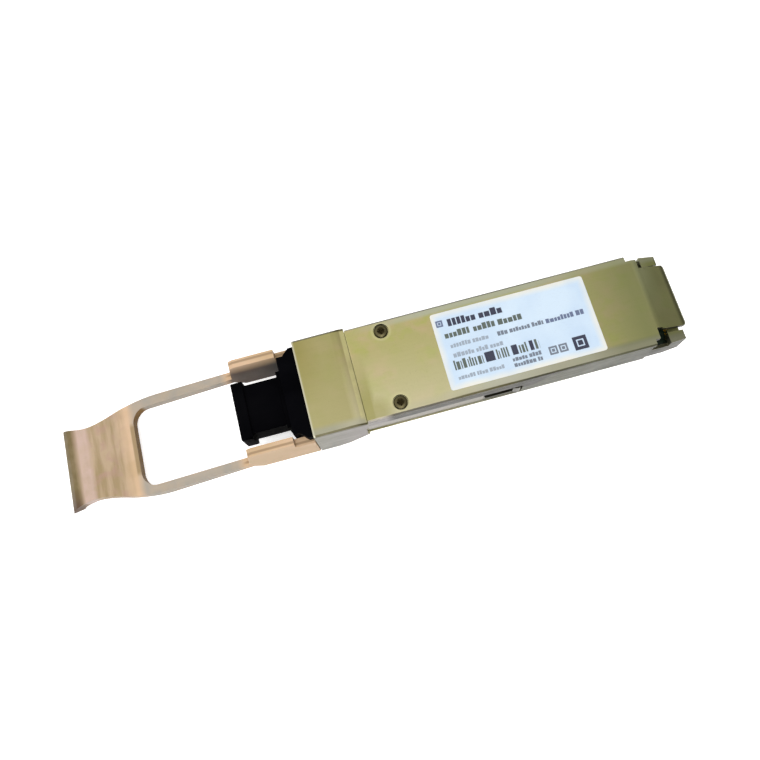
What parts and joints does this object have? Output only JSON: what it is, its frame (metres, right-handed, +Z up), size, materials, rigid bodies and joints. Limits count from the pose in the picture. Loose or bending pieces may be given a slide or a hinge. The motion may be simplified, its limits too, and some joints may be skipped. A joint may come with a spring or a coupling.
{
  "type": "optical transceiver module",
  "caption": "Pluggable optical transceiver: die-cast housing with a multi-fibre port and dust plug, beige pull tab and sprung latch slider, and an edge-connector card inside.",
  "frame": {"origin": "centre line of the flat bottom face, at the plane of the host cage's front edge (20 mm behind the nose front, 52.4 mm before the rear edge)", "axes": "+X along the module to the edge connector, away from the pull tab; +Z up, out of the label side; Y across the width"},
  "size_m": [0.1232, 0.0196, 0.0157],
  "materials": {
    "shell": "satin nickel-plated die casting, warm olive-gold",
    "screw_steel": "satin",
    "gasket": "matte",
    "label_paper": "coated paper with dark printed bars",
    "tab_plastic": "moulded, fine matte grain",
    "spring_steel": "satin",
    "port_plastic": "moulded",
    "ferrule_plastic": "glass-filled, fine",
    "fibre": "clear coated",
    "plug_rubber": "matte moulded",
    "circuit_board": "solder mask over woven glass",
    "lens_resin": "optically clear amber",
    "die_metal": "gold plated",
    "chip_plastic": "moulded epoxy",
    "ferrite": "matte",
    "capacitor_ceramic": "satin",
    "thermal_pad": "soft matte"
  },
  "bodies": {
    "housing": {"base_housing": "shell", "top_cover": "shell", "cover_screw_left": "screw_steel", "cover_screw_right": "screw_steel", "emi_gasket_left": "gasket", "emi_gasket_right": "gasket", "product_label": "label_paper", "slider_spring_left": "spring_steel", "slider_spring_right": "spring_steel", "pin_keeper": "spring_steel", "guide_pin_left": "spring_steel", "guide_pin_right": "spring_steel", "mpo_receptacle": "port_plastic", "mt_ferrule": "ferrule_plastic", "fibre_ribbon": "fibre", "paddle_card": "circuit_board", "lens_coupler": "lens_resin", "vcsel_array": "die_metal", "photodiode_array": "die_metal", "laser_driver_ic": "chip_plastic", "receiver_ic": "chip_plastic", "microcontroller": "chip_plastic", "power_inductor": "ferrite", "filter_capacitor_left_1": "capacitor_ceramic", "filter_capacitor_right_1": "capacitor_ceramic", "filter_capacitor_left_2": "capacitor_ceramic", "filter_capacitor_right_2": "capacitor_ceramic", "thermal_pad_cover": "thermal_pad", "thermal_pad_floor": "thermal_pad"},
    "latch": {"pull_tab": "tab_plastic", "latch_slider": "spring_steel"},
    "plug": {"dust_plug": "plug_rubber"}
  },
  "joints": [
    {"name": "latch_slide", "type": "slide", "parent": "housing", "child": "latch", "axis": [-1, 0, 0], "range_m": [0, 0.0025], "stiffness_N_per_m": 1000, "springref_m": -0.0015, "deforming": ["slider_spring_left", "slider_spring_right"]},
    {"name": "dust_plug_pull", "type": "slide", "parent": "housing", "child": "plug", "axis": [-1, 0, 0], "range_m": [0, 0.014]}
  ]
}
